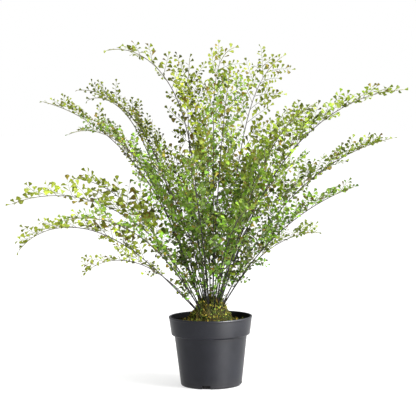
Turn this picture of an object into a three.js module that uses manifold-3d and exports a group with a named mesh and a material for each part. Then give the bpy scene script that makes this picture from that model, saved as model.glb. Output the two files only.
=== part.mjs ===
// A maidenhair fern in a 13 cm plastic nursery pot.
// Millimetres, +Z up, the front faces -Y. The origin is the centre of the pot's flat underside.
//
// Every frond is one node: its stem, side ribs and fan-shaped leaflets are one thin sheet, bent into
// place. Stems stand in blind holes in the moss, and no two fronds touch.
// A living frond has many more and smaller leaflets: these are fewer and larger, on the same ribs.

import * as THREE from 'three';
import { mergeVertices } from 'three/addons/utils/BufferGeometryUtils.js';
import Module from 'manifold-3d';

const { degToRad, lerp, clamp } = THREE.MathUtils;
const UP = new THREE.Vector3(0, 0, 1);

// ---------------------------------------------------------------- driving dimensions

const pot = {
  height: 108,
  rimRadius: 65,
  collarHeight: 28,
  collarTaper: 4,
  shoulderRadius: 56.5,
  footRadius: 47.5,
  wall: 1.7,
  floor: 2.2,
  sides: 32,
};

const drain = { count: 4, width: 14, height: 6, depth: 12, firstAngle: -100 };

// between pieces that touch in the real thing
const gap = 0.35;
const fillGap = 0.45;
const soilTop = 86;

const moss = {
  wallHeight: 95,
  crownHeight: 131,
  crownSpread: 30,
  crownPower: 4.5,
  lump: 1.5,
  sides: 24,
  rings: 7,
};

const stem = {
  footHeight: 112,
  pegLength: 32,
  footHalf: 1.05,
  tipHalf: 0.5,
  innerRing: 4,
  outerRing: 18,
  lineSteps: 48,
  bareSteps: 3,
  sharpestBend: 13,
  spotSpacing: 2.5,
};

const pinna = {
  spacing: 36,
  angle: 50,
  angleSpread: 10,
  lift: 38,
  liftSpread: 36,
  longest: 54,
  shortest: 20,
  droop: 0.4,
  ribHalf: 0.5,
  ribThickHalf: 0.35,
  rootHalf: 0.8,
  rootedLength: 5,
  lastShare: 0.93,
  fewest: 2,
  steepest: 75,
  swings: [0, 16, -16, 32, -32, 48, -48, -66, -84],
};

const leaflet = {
  size: 17,
  tipShrink: 0.3,
  tipScale: 0.5,
  spacing: 11.5,
  angle: 58,
  cornerReach: 0.82,
  cornerWidth: 0.54,
  cup: 0.09,
  half: 0.3,
  roll: 22,
  // where it is tested for room, as shares of its size along and across it
  spots: [
    [0.2, 0], [0.45, 0], [0.68, -0.24], [0.68, 0.24], [0.72, 0],
    [0.9, -0.44], [0.94, -0.2], [0.94, 0.2], [0.9, 0.44],
  ],
  spotRadius: 0.15,
};

const clearance = 0.5;

// Each frond: heading, lean, length, arch, hold, bare, turn, tone.
// heading is the direction that it grows in, anticlockwise from +X. lean is the stem's tilt from
// upright at its foot. arch is how much further it has tilted at the tip, late where hold is high.
// bare is the leafless share of its length. turn rolls its leafy side about the stem.
const fronds = [
  // left, from the top down
  [188, 4, 478, 100, 4.8, 0.48, 20, 'lime'],
  [165, 15.5, 430, 78, 4.2, 0.48, 30, 'olive'],
  [183, 17, 430, 58, 2.0, 0.45, 20, 'olive'],
  [203, 20, 388, 93, 4.1, 0.45, 0, 'green'],
  [160, 31, 308, 53, 2.7, 0.4, 0, 'lime'],
  [192, 24.5, 379, 86, 1.5, 0.35, 25, 'lime'],
  [196, 43, 340, 99, 2.7, 0.35, 15, 'lime'],
  [208, 42, 232, 86, 2.1, 0.45, 0, 'lime'],
  // right, from the top down
  [4, 18.5, 484, 70, 2.1, 0.5, -25, 'lime'],
  [353, 26, 396, 52, 1.7, 0.4, -20, 'olive'],
  [335, 31, 306, 40, 1.3, 0.35, 0, 'green'],
  [17, 32, 214, 60, 1.7, 0.25, 0, 'olive'],
  [27, 19, 362, 45, 4.0, 0.4, 30, 'lime'],
  [342, 17, 366, 46, 4.0, 0.35, -30, 'lime'],
  // the tall ones in the middle
  [20, 1, 424, 75, 14.0, 0.4, 80, 'lime'],
  [358, 9.5, 418, 48, 7.0, 0.42, 75, 'lime'],
  [150, 7, 398, -14, 3.0, 0.38, 90, 'olive'],
  [292, 8, 388, 14, 2.0, 0.3, 0, 'green'],
  // towards the front
  [262, 24, 330, 45, 1.8, 0.3, 0, 'green'],
  [284, 33, 300, 50, 1.6, 0.3, 0, 'green'],
  [225, 37, 335, 61, 1.7, 0.3, 0, 'green'],
  [312, 22, 300, 40, 1.8, 0.25, 0, 'green'],
  // towards the back
  [90, 25, 400, 50, 1.8, 0.35, 0, 'green'],
  [64, 35, 340, 48, 1.6, 0.3, 0, 'olive'],
  [114, 34, 340, 50, 1.6, 0.3, 0, 'green'],
  [43, 27, 330, 40, 1.8, 0.28, 0, 'green'],
  [150, 21, 424, 92, 6.4, 0.35, 20, 'olive'],
  // the short ones that fill the heart
  [62, 12, 270, 30, 1.6, 0.22, 40, 'green'],
  [102, 13, 285, 28, 1.6, 0.22, -40, 'green'],
  [224, 12, 275, 34, 1.6, 0.22, 60, 'green'],
  [250, 15, 250, 36, 1.6, 0.22, -30, 'green'],
  [322, 13, 280, 30, 1.6, 0.22, 50, 'green'],
];

// ---------------------------------------------------------------- helpers

// mulberry32: a small seeded source of numbers from 0 to 1.
function seeded(seed) {
  let state = seed >>> 0;
  return () => {
    state = (state + 0x6d2b79f5) >>> 0;
    let t = state;
    t = Math.imul(t ^ (t >>> 15), t | 1);
    t ^= t + Math.imul(t ^ (t >>> 7), t | 61);
    return ((t ^ (t >>> 14)) >>> 0) / 4294967296;
  };
}

const wasm = await Module();
wasm.setup();

function bare(geometry) {
  geometry.deleteAttribute('normal');
  geometry.deleteAttribute('uv');
  return mergeVertices(geometry);
}

function toSolid(geometry) {
  const merged = bare(geometry);
  const vertProperties = new Float32Array(merged.attributes.position.array);
  const triVerts = new Uint32Array(merged.index.array);
  return new wasm.Manifold(new wasm.Mesh({ numProp: 3, vertProperties, triVerts }));
}

function toGeometry(solid) {
  const mesh = solid.getMesh();
  const geometry = new THREE.BufferGeometry();
  geometry.setAttribute('position', new THREE.BufferAttribute(mesh.vertProperties, 3));
  geometry.setIndex(new THREE.BufferAttribute(mesh.triVerts, 1));
  return geometry;
}

// A profile of [radius, height] pairs, turned about Z.
function turned(profile, sides) {
  const points = profile.map(([radius, height]) => new THREE.Vector2(radius, height));
  return new THREE.LatheGeometry(points, sides).rotateX(Math.PI / 2);
}

function finished(name, geometry, material) {
  geometry.computeVertexNormals();
  const mesh = new THREE.Mesh(geometry, material);
  mesh.name = name;
  return mesh;
}

// ---------------------------------------------------------------- materials

const materials = {
  pot: new THREE.MeshStandardMaterial({ color: '#3f4044', roughness: 0.5, metalness: 0 }),
  soil: new THREE.MeshStandardMaterial({ color: '#3a2a1e', roughness: 1, metalness: 0 }),
  moss: new THREE.MeshStandardMaterial({ color: '#7d7434', roughness: 1, metalness: 0 }),
  lime: new THREE.MeshStandardMaterial({ color: '#a9b84a', roughness: 0.6, metalness: 0 }),
  green: new THREE.MeshStandardMaterial({ color: '#7fa03c', roughness: 0.6, metalness: 0 }),
  olive: new THREE.MeshStandardMaterial({ color: '#6c7a35', roughness: 0.6, metalness: 0 }),
};

// ---------------------------------------------------------------- the pot and its filling

const collarFoot = pot.height - pot.collarHeight;
const collarFootRadius = pot.rimRadius - pot.collarTaper;

// The inside of the pot, from the floor's edge up to the lip.
const insideProfile = [
  [pot.footRadius - pot.wall - 0.2, pot.floor + 2.3],
  [pot.shoulderRadius - pot.wall - 0.4, collarFoot - 2.6],
  [collarFootRadius - pot.wall, collarFoot + 3.2],
  [pot.rimRadius - pot.wall - 0.7, pot.height - 1.5],
];

function insideRadius(height) {
  for (let i = 1; i < insideProfile.length; i += 1) {
    const [lowRadius, low] = insideProfile[i - 1];
    const [highRadius, high] = insideProfile[i];
    if (height <= high) {
      return lerp(lowRadius, highRadius, clamp((height - low) / (high - low), 0, 1));
    }
  }
  return insideProfile.at(-1)[0];
}

const fillRadius = (height) => insideRadius(height) - fillGap;

function makePot() {
  const profile = [
    [0, 0],
    [pot.footRadius - 3, 0],
    [pot.footRadius - 0.8, 1.4],
    [pot.footRadius, 3.5],
    [pot.shoulderRadius, collarFoot - 1.5],
    [collarFootRadius - 0.6, collarFoot],
    [collarFootRadius, collarFoot + 1],
    [pot.rimRadius - 0.4, pot.height - 2.5],
    [pot.rimRadius, pot.height - 1],
    [pot.rimRadius - 0.6, pot.height],
    [pot.rimRadius - pot.wall - 0.3, pot.height],
    ...insideProfile.toReversed(),
    [pot.footRadius - pot.wall - 2.2, pot.floor],
    [0, pot.floor],
  ];
  let solid = toSolid(turned(profile, pot.sides));
  for (let i = 0; i < drain.count; i += 1) {
    const notch = new THREE.BoxGeometry(drain.depth, drain.width, 2 * drain.height)
      .translate(pot.footRadius, 0, 0)
      .rotateZ(degToRad(drain.firstAngle + (i * 360) / drain.count));
    solid = solid.subtract(toSolid(notch));
  }
  return finished('nursery_pot', toGeometry(solid), materials.pot);
}

function makeSoil() {
  const base = pot.floor + gap;
  const corners = [base + 2.5, collarFoot - 2.4, collarFoot + 3.4, soilTop];
  const wall = corners.map((height) => [fillRadius(height), height]);
  const profile = [[0, base], [fillRadius(base) - 2.5, base], ...wall, [0, soilTop]];
  return finished('potting_soil', bare(turned(profile, moss.sides)), materials.soil);
}

// The height of the moss: a crown in the middle that falls away to the pot's wall, with soft lumps.
function mossHeight(radius, angle) {
  const fall = Math.exp(-((radius / moss.crownSpread) ** moss.crownPower));
  const crown = (moss.crownHeight - moss.wallHeight) * fall;
  const fade = clamp(radius / 20, 0, 1);
  const lumps = Math.sin(3 * angle + 0.12 * radius) + 0.7 * Math.sin(7 * angle - 0.2 * radius);
  return moss.wallHeight + crown + moss.lump * fade * lumps;
}

function makeMoss(holes) {
  const base = soilTop + gap;
  const profile = [[0, base], [fillRadius(base), base]];
  const edge = fillRadius(moss.wallHeight - 2);
  for (let ring = 0; ring < moss.rings; ring += 1) {
    const radius = edge * (1 - ring / moss.rings);
    profile.push([radius, moss.wallHeight]);
  }
  profile.push([0, moss.wallHeight]);
  const geometry = bare(turned(profile, moss.sides));
  const { position } = geometry.attributes;
  for (let i = 0; i < position.count; i += 1) {
    if (position.getZ(i) > base + 1) {
      const radius = Math.hypot(position.getX(i), position.getY(i));
      const angle = radius < 0.01 ? 0 : Math.atan2(position.getY(i), position.getX(i));
      position.setZ(i, mossHeight(radius, angle));
    }
  }
  let solid = toSolid(geometry);
  for (const hole of holes) {
    solid = solid.subtract(toSolid(hole));
  }
  return finished('moss_mound', toGeometry(solid), materials.moss);
}

// ---------------------------------------------------------------- where a frond goes

// A frame is a place on a frond with three directions: along the stem or rib, across it, and face,
// the way its upper side looks.
function frameAt(origin, along, across) {
  return { origin, along, across, face: along.clone().cross(across) };
}

// One corner of a sheet, given in a frame, with half of the sheet's thickness there.
// run is how far along its stem or rib the corner lies.
function corner(frame, along, across, raise, half, run = 0) {
  const at = frame.origin.clone()
    .addScaledVector(frame.along, along)
    .addScaledVector(frame.across, across)
    .addScaledVector(frame.face, raise);
  return { at, face: frame.face, half, run };
}

// The stem's curve, as a function from the share of its length to a frame.
function stemCurve([heading, lean, length, arch, hold, , turn]) {
  const outward = new THREE.Vector3(Math.cos(degToRad(heading)), Math.sin(degToRad(heading)), 0);
  const sideways = UP.clone().cross(outward);
  const ringShare = Math.sin(degToRad(lean)) / Math.sin(degToRad(45));
  const direction = (share) => {
    const tilt = degToRad(lean + arch * share ** hold);
    return outward.clone().multiplyScalar(Math.sin(tilt)).addScaledVector(UP, Math.cos(tilt));
  };
  const line = [outward.clone().multiplyScalar(lerp(stem.innerRing, stem.outerRing, ringShare))];
  line[0].z = stem.footHeight;
  for (let i = 0; i < stem.lineSteps; i += 1) {
    const step = direction((i + 0.5) / stem.lineSteps).multiplyScalar(length / stem.lineSteps);
    line.push(line[i].clone().add(step));
  }
  return (share) => {
    const place = clamp(share, 0, 1) * stem.lineSteps;
    const i = Math.min(Math.floor(place), stem.lineSteps - 1);
    const origin = line[i].clone().lerp(line[i + 1], place - i);
    const along = direction(share);
    return frameAt(origin, along, sideways.clone().applyAxisAngle(along, degToRad(turn)));
  };
}

const stemHalf = (share) => lerp(stem.footHalf, stem.tipHalf, share);

// A frame for what grows out of another frame, on side 1 or -1, at an angle to its run.
// lift raises it out of the parent's plane.
function branch(parent, side, angle, lift) {
  const out = parent.across.clone().multiplyScalar(side * Math.cos(lift));
  out.addScaledVector(parent.face, Math.sin(lift));
  const along = parent.along.clone().multiplyScalar(Math.cos(angle));
  along.addScaledVector(out, Math.sin(angle));
  const across = parent.along.clone().projectOnPlane(along).normalize().multiplyScalar(-side);
  return frameAt(parent.origin, along, across);
}

// A place along a side rib, which droops with its weight.
function alongRib(root, distance, length) {
  const along = root.along.clone().addScaledVector(UP, (-pinna.droop * distance) / length).normalize();
  const across = root.across.clone().projectOnPlane(along).normalize();
  const origin = root.origin.clone()
    .addScaledVector(root.along, distance)
    .addScaledVector(UP, (-pinna.droop * distance ** 2) / (2 * length));
  return frameAt(origin, along, across);
}

// ---------------------------------------------------------------- room between fronds

// What a frond fills is told as round spots, each with the frond that it belongs to.
const taken = [];

function isClear(spots) {
  return spots.every((spot) => taken.every((other) => {
    if (spot.rooted && other.frond === spot.frond) {
      return true;
    }
    const room = spot.radius + other.radius + clearance;
    return spot.at.distanceToSquared(other.at) > room * room;
  }));
}

function leafletSpots(root, size, frond) {
  return leaflet.spots.map(([along, across]) => ({
    at: corner(root, along * size, across * size, 0, 0).at,
    radius: leaflet.spotRadius * size,
    frond,
  }));
}

function stemSpots(curve, length, frond) {
  const count = Math.ceil(length / stem.spotSpacing);
  return Array.from({ length: count + 1 }, (_, i) => ({
    at: curve(i / count).origin,
    radius: 1.4 * stemHalf(i / count) + 0.3,
    frond,
  }));
}

// ---------------------------------------------------------------- leaflets, side ribs and stems

// A sheet is a list of triangles between corners, seen from its face side.

// Triangles for the strip between the right and left edges of a stem or rib. Each takes the nearer
// corner next, so that none of them cuts a bend short.
function strip(right, left) {
  const triangles = [];
  const apart = (a, b) => (a && b ? Math.abs(a.run - b.run) : Infinity);
  let [r, l] = [0, 0];
  while (r < right.length - 1 || l < left.length - 1) {
    if (apart(right[r + 1], left[l]) <= apart(right[r], left[l + 1])) {
      triangles.push([right[r], right[r + 1], left[l]]);
      r += 1;
    } else {
      triangles.push([right[r], left[l + 1], left[l]]);
      l += 1;
    }
  }
  return triangles;
}

// A leaflet on the edge from first to last: a wedge with a bowed outer edge, a little cupped.
function fan(first, last, root, size) {
  const reach = leaflet.cornerReach * size;
  const width = leaflet.cornerWidth * size;
  const cup = leaflet.cup * size;
  const start = corner(root, reach, -width, cup, leaflet.half);
  const middle = corner(root, size, 0, 0, leaflet.half);
  const end = corner(root, reach, width, cup, leaflet.half);
  return [[first, start, middle], [first, middle, last], [middle, end, last]];
}

// A side rib's plan: its root, and its leaflets alternately on its two sides, with one at its end.
// The first leaflet is on the side away from the frond's tip, where the stem isn't in its way.
function planPinna(parent, side, angle, lift, rolls, size, frond) {
  const root = branch(parent, side, degToRad(angle), degToRad(lift));
  const length = (rolls.length - 0.3) * leaflet.spacing;
  const rib = (distance) => alongRib(root, distance, length);
  const leaflets = rolls.slice(0, -1).map((roll, k) => {
    const distance = (k + 0.9) * leaflet.spacing;
    const hand = k % 2 === 0 ? side : -side;
    const place = branch(rib(distance), hand, degToRad(leaflet.angle), 0);
    place.across.applyAxisAngle(place.along, roll);
    place.face.applyAxisAngle(place.along, roll);
    return { distance, hand, place };
  });
  const spots = leaflets.flatMap(({ place }) => leafletSpots(place, size, frond));
  spots.push(...leafletSpots(rib(length), size, frond));
  for (let distance = 2; distance < length; distance += stem.spotSpacing) {
    spots.push({ at: rib(distance).origin, radius: 0.8, frond, rooted: distance < pinna.rootedLength });
  }
  return { root, rib, length, leaflets, size, spots };
}

// The side rib's sheet, on the edge of the stem from first to last.
function growPinna({ rib, length, leaflets, size }, first, last) {
  const edge = (distance, hand) => (
    corner(rib(distance), 0, hand * pinna.ribHalf, 0, pinna.ribThickHalf, distance)
  );
  const right = [{ ...first, run: 0 }];
  const left = [{ ...last, run: 0 }];
  const triangles = [];
  leaflets.forEach(({ distance, hand, place }) => {
    const near = edge(distance - pinna.rootHalf, hand);
    const far = edge(distance + pinna.rootHalf, hand);
    const row = hand < 0 ? right : left;
    row.push(near, far);
    triangles.push(...(hand < 0 ? fan(near, far, place, size) : fan(far, near, place, size)));
  });
  right.push(edge(length, -1));
  left.push(edge(length, 1));
  triangles.push(...strip(right, left), ...fan(right.at(-1), left.at(-1), rib(length), size));
  return triangles;
}

// The plan of the side rib that grows at a share of the stem, swung or shortened until it clears
// what has grown before it, or nothing where there is no room.
function fitPinna(curve, share, side, leafShare, draw, frond) {
  const angle = pinna.angle + pinna.angleSpread * (draw() - 0.5);
  const lift = pinna.lift + pinna.liftSpread * (draw() - 0.5);
  const swell = Math.min(1, 0.7 + 1.5 * leafShare);
  const reach = lerp(pinna.longest, pinna.shortest, leafShare) * swell * (0.88 + 0.24 * draw());
  const count = Math.max(2, Math.round(reach / leaflet.spacing));
  const size = leaflet.size * (1 - leaflet.tipShrink * leafShare);
  const rolls = Array.from({ length: count }, () => degToRad(leaflet.roll * (2 * draw() - 1)));
  for (let kept = count; kept >= pinna.fewest; kept -= 1) {
    for (const swing of pinna.swings.filter((turn) => Math.abs(lift + turn) < pinna.steepest)) {
      const plan = planPinna(curve(share), side, angle, lift + swing, rolls.slice(0, kept), size, frond);
      if (isClear(plan.spots)) {
        taken.push(...plan.spots);
        return plan;
      }
    }
  }
  return null;
}

// A frond's sheet: the strip between its stem's two edges, with a side rib at each place that has
// room for one. Where a rib grows, the edge looks halfway between the stem's face and the rib's.
function frondSheet(row, curve, frond) {
  const [, , length, , , bareShare] = row;
  const draw = seeded(frond + 1);
  const edge = (share, side) => corner(curve(share), 0, side * stemHalf(share), 0, stemHalf(share), share);
  const right = [];
  const left = [];
  const triangles = [];
  const addStation = (share) => {
    right.push(edge(share, -1));
    left.push(edge(share, 1));
  };
  const addBend = (from, to) => {
    if (curve(from).along.angleTo(curve(to).along) > degToRad(stem.sharpestBend)) {
      addStation((from + to) / 2);
    }
  };
  const pegShare = stem.pegLength / length;
  addStation(0);
  for (let i = 0; i < stem.bareSteps; i += 1) {
    addStation(lerp(pegShare, bareShare, i / stem.bareSteps));
  }
  const leafy = pinna.lastShare - bareShare;
  const count = Math.round((leafy * length) / pinna.spacing);
  const rootShare = pinna.rootHalf / length;
  let lastShare = bareShare;
  for (let i = 0; i < count; i += 1) {
    const leafShare = (i + 0.5) / count;
    const share = bareShare + leafy * leafShare;
    const side = i % 2 === 0 ? -1 : 1;
    addBend(lastShare, share);
    lastShare = share;
    const plan = fitPinna(curve, share, side, leafShare, draw, frond);
    if (plan) {
      const face = curve(share).face.add(plan.root.face).normalize();
      const near = { ...edge(share - rootShare, side), face };
      const far = { ...edge(share + rootShare, side), face };
      (side < 0 ? right : left).push(near, far);
      (side < 0 ? left : right).push(edge(share, -side));
      triangles.push(...(side < 0 ? growPinna(plan, near, far) : growPinna(plan, far, near)));
    }
  }
  addBend(lastShare, 1);
  addStation(1);
  const tip = fan(right.at(-1), left.at(-1), curve(1), leaflet.size * leaflet.tipScale);
  return [...triangles, ...strip(right, left), ...tip];
}

// Gives a sheet its thickness: an upper and a lower side, with walls along its open edges.
function thickened(triangles) {
  const numbers = new Map();
  const positions = [];
  const number = ({ at, face, half }) => {
    const key = at.toArray().join(' ');
    if (!numbers.has(key)) {
      numbers.set(key, positions.length / 6);
      for (const side of [1, -1]) {
        positions.push(...at.clone().addScaledVector(face, side * half).toArray());
      }
    }
    return numbers.get(key);
  };
  const faces = triangles.map((triangle) => triangle.map(number));
  const upper = (i) => 2 * i;
  const lower = (i) => 2 * i + 1;
  const edges = faces.flatMap(([a, b, c]) => [[a, b], [b, c], [c, a]]);
  const known = new Set(edges.map(([a, b]) => `${a} ${b}`));
  const walls = edges.filter(([a, b]) => !known.has(`${b} ${a}`));
  const index = [
    ...faces.flatMap((face) => [...face.map(upper), ...face.toReversed().map(lower)]),
    ...walls.flatMap(([a, b]) => [upper(b), upper(a), lower(a), upper(b), lower(a), lower(b)]),
  ];
  const geometry = new THREE.BufferGeometry();
  geometry.setAttribute('position', new THREE.Float32BufferAttribute(positions, 3));
  return geometry.setIndex(index);
}

// The straight part of a stem that stands in the moss, with room round it.
function mossHole(curve, pegShare) {
  const side = 2 * (stem.footHalf + gap);
  const { origin, across } = curve(0);
  const along = curve(pegShare).origin.sub(origin).normalize();
  const level = across.clone().projectOnPlane(along).normalize();
  const upright = along.clone().cross(level);
  const place = new THREE.Matrix4().makeBasis(level, upright, along).setPosition(origin);
  return new THREE.BoxGeometry(side, side, stem.pegLength)
    .translate(0, 0, stem.pegLength / 2 - gap)
    .applyMatrix4(place);
}

// ---------------------------------------------------------------- assembly

const curves = fronds.map((row) => stemCurve(row));
curves.forEach((curve, i) => taken.push(...stemSpots(curve, fronds[i][2], i)));

const fern = new THREE.Group();
const holes = curves.map((curve, i) => mossHole(curve, stem.pegLength / fronds[i][2]));
fern.add(makePot(), makeSoil(), makeMoss(holes));
fronds.forEach((row, i) => {
  const name = `frond_${String(i + 1).padStart(2, '0')}`;
  fern.add(finished(name, thickened(frondSheet(row, curves[i], i)), materials[row[7]]));
});

export default fern;
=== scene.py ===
# Looks for a maidenhair fern in a 13 cm plastic nursery pot.
#
# Lengths are in millimetres, in the frame of the CAD part, and mesh_of turns them into metres.
# Every frond follows the stem curve of its CAD node, which it replaces, with many more side ribs
# and with leaflets at their true size. The pot and the moss follow their CAD profiles.

from collections import namedtuple
from math import atan2, cos, exp, hypot, pi, radians, sin, sqrt
from types import SimpleNamespace as Values

import bpy
import numpy as np
from mathutils import Matrix, Vector, noise


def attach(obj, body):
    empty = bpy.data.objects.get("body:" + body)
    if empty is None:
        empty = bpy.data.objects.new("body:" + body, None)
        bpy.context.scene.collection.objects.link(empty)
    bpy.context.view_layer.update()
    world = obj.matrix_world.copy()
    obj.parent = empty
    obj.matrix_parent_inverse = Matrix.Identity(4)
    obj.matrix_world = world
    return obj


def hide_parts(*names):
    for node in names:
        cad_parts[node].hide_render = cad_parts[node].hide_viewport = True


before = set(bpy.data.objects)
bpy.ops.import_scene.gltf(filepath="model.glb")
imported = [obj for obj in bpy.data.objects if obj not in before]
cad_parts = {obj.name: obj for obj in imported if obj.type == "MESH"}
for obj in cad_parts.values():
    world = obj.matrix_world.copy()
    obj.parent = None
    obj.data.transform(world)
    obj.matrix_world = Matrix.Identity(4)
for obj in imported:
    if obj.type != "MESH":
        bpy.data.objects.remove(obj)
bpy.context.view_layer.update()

MM = 0.001
UP = np.array([0.0, 0.0, 1.0])
BODY = "root"

# ------------ sizes shared with the CAD part

POT = Values(
    height=108,
    rim_radius=65,
    collar_height=28,
    collar_taper=4,
    shoulder_radius=56.5,
    foot_radius=47.5,
    wall=1.7,
    floor=2.2,
)
DRAIN = Values(count=4, width=14, height=6, depth=12, first_angle=-100)
MOSS = Values(
    base=86.35,
    wall_height=95,
    crown_height=131,
    crown_spread=30,
    crown_power=4.5,
    lump=1.5,
    even_middle=20,
    # Swells of its surface: how many there are round it, how they twist outwards, and how strong.
    swells=[(3, 0.12, 1.0), (7, -0.2, 0.7)],
    edge=60.8,
)
STEM = Values(foot_height=112, inner_ring=4, outer_ring=18, widest_lean=45, steps=48)

# Each frond, in the order of the CAD nodes: heading, lean, length, arch, hold, bare, turn, tone, and
# then full_size, fullness and low, which the CAD part doesn't have.
# heading is the direction that it grows in, anticlockwise from +X. lean is the stem's tilt from
# upright at its foot. arch is how much further it has tilted at the tip, late where hold is high.
# Side ribs start at the share of its length called bare. turn rolls its leafy side about the stem.
# full_size is the length of its leaflets. fullness is how closely its side ribs follow each other.
# Short sprays grow from the share of its length called low up to bare.
FRONDS = [
    # left, from the top down
    (188, 4, 478, 100, 4.8, 0.48, 20, "lime", 9.2, 1.0, 0.3),
    (165, 15.5, 430, 78, 4.2, 0.48, 30, "olive", 7.2, 1.4, 0.2),
    (183, 17, 430, 58, 2.0, 0.45, 20, "olive", 7.2, 1.4, 0.2),
    (203, 20, 388, 93, 4.1, 0.45, 0, "green", 7.4, 1.2, 0.12),
    (160, 31, 308, 53, 2.7, 0.4, 0, "lime", 11.2, 1.0, 0.13),
    (192, 24.5, 379, 86, 1.5, 0.35, 25, "lime", 11.4, 1.0, 0.13),
    (196, 43, 340, 99, 2.7, 0.35, 15, "lime", 9.4, 1.2, 0.26),
    (208, 42, 232, 86, 2.1, 0.45, 0, "lime", 8.2, 0.8, 0.38),
    # right, from the top down
    (4, 18.5, 484, 70, 2.1, 0.5, -25, "lime", 9.8, 1.3, 0.22),
    (353, 26, 396, 52, 1.7, 0.4, -20, "olive", 8.6, 1.8, 0.15),
    (335, 31, 306, 40, 1.3, 0.35, 0, "green", 8.2, 1.6, 0.16),
    (17, 32, 214, 60, 1.7, 0.25, 0, "olive", 8.0, 1.3, 0.25),
    (27, 19, 362, 45, 4.0, 0.4, 30, "lime", 9.4, 1.5, 0.15),
    (342, 17, 366, 46, 4.0, 0.35, -30, "lime", 9.4, 1.7, 0.15),
    # the tall ones in the middle
    (20, 1, 424, 75, 14.0, 0.4, 80, "lime", 10.2, 0.9, 0.2),
    (358, 9.5, 418, 48, 7.0, 0.42, 75, "lime", 9.4, 1.0, 0.2),
    (150, 7, 398, -14, 3.0, 0.38, 90, "olive", 9.0, 0.85, 0.15),
    (292, 8, 388, 14, 2.0, 0.3, 0, "green", 8.6, 0.9, 0.14),
    # towards the front
    (262, 24, 330, 45, 1.8, 0.3, 0, "green", 8.6, 1.2, 0.18),
    (284, 33, 300, 50, 1.6, 0.3, 0, "green", 8.6, 0.9, 0.14),
    (225, 37, 335, 61, 1.7, 0.3, 0, "green", 8.6, 0.8, 0.1),
    (312, 22, 300, 40, 1.8, 0.25, 0, "green", 8.6, 0.7, 0.12),
    # towards the back
    (90, 25, 400, 50, 1.8, 0.35, 0, "green", 8.2, 1.4, 0.2),
    (64, 35, 340, 48, 1.6, 0.3, 0, "olive", 8.2, 0.6, 0.2),
    (114, 34, 340, 50, 1.6, 0.3, 0, "green", 8.2, 0.75, 0.4),
    (43, 27, 330, 40, 1.8, 0.28, 0, "green", 8.2, 0.9, 0.14),
    (150, 21, 424, 92, 6.4, 0.35, 20, "olive", 8.0, 1.0, 0.15),
    # the short ones that fill the heart
    (62, 12, 270, 30, 1.6, 0.22, 40, "green", 8.6, 1.5, 0.1),
    (102, 13, 285, 28, 1.6, 0.22, -40, "green", 8.6, 1.3, 0.14),
    (224, 12, 275, 34, 1.6, 0.22, 60, "green", 8.6, 1.2, 0.14),
    (250, 15, 250, 36, 1.6, 0.22, -30, "green", 8.6, 1.2, 0.14),
    (322, 13, 280, 30, 1.6, 0.22, 50, "green", 8.6, 1.15, 0.1),
]

# ------------ camera, floor and light

# The place is in metres, pitch and roll are in degrees, and the lens and its sensor in millimetres.
CAMERA = Values(place=(-0.0015, -2.3, 0.42), pitch=3.58, roll=-0.8, lens=128.6, sensor=36)

# How bright the world is towards each side of the plant.
WORLD = Values(front=0.4, back=0.95, left=0.15, right=1.3, above=1.15)


def new_object(name, data):
    obj = bpy.data.objects.new(name, data)
    bpy.context.scene.collection.objects.link(obj)
    return obj


def mesh_of(name, points, faces):
    mesh = bpy.data.meshes.new(name)
    mesh.from_pydata((np.asarray(points, float) * MM).tolist(), [], faces)
    return mesh


def add_camera():
    data = bpy.data.cameras.new("camera")
    data.lens = CAMERA.lens
    data.sensor_width = CAMERA.sensor
    camera = new_object("camera", data)
    tilt = Matrix.Rotation(radians(90 - CAMERA.pitch), 4, "X")
    roll = Matrix.Rotation(radians(CAMERA.roll), 4, "Z")
    camera.rotation_euler = (tilt @ roll).to_euler()
    camera.location = CAMERA.place
    bpy.context.scene.camera = camera


add_camera()


def colour(code):
    """A colour from its sRGB code, with the alpha that Blender's colours have."""
    shares = [int(code[i:i + 2], 16) / 255 for i in (1, 3, 5)]
    linear = [s / 12.92 if s <= 0.04045 else ((s + 0.055) / 1.055) ** 2.4 for s in shares]
    return (*linear, 1.0)


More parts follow.
